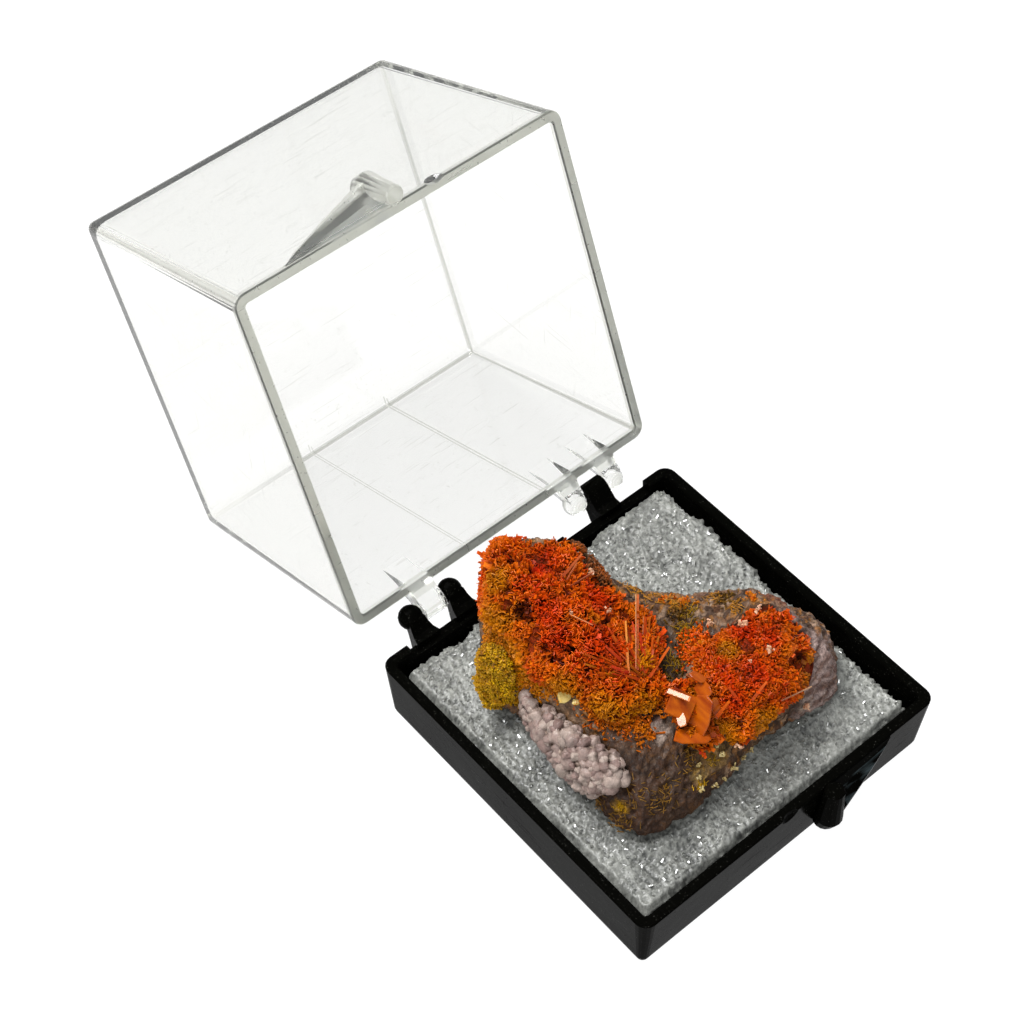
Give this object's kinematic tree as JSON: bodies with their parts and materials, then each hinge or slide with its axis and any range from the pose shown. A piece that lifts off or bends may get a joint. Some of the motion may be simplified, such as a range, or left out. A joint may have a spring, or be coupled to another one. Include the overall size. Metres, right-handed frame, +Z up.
{
  "type": "mineral specimen in display box",
  "caption": "Orange-red wulfenite crystals on purple-brown rock, on a foam pad in a small black tray with a clear lid that swings open on snap-together ball hinges.",
  "frame": {"origin": "centre of the tray's underside", "axes": "+X along the hinge, +Y towards the hinge and the open lid, -Y the latch side, +Z up"},
  "size_m": [0.032, 0.0713, 0.0401],
  "materials": {
    "black_plastic": "glossy moulded",
    "clear_plastic": "clear, lightly scratched",
    "foam": "cut closed-cell foam",
    "rock": "rough",
    "wulfenite": "resinous, fine blades",
    "mimetite": "fine crystalline crust",
    "pale_mineral": "waxy, knobbly"
  },
  "bodies": {
    "tray": {"tray": "black_plastic", "foam_pad": "foam", "matrix": "rock", "wulfenite_left": "wulfenite", "wulfenite_right": "wulfenite", "wulfenite_plates": "wulfenite", "mimetite_crust": "mimetite", "pale_lump": "pale_mineral"},
    "lid": {"lid": "clear_plastic"}
  },
  "joints": [
    {"name": "lid_hinge", "type": "hinge", "parent": "tray", "child": "lid", "pos_m": [0, 0.0179, 0.007], "axis": [1, 0, 0], "range_deg": [0, 111.9]}
  ]
}
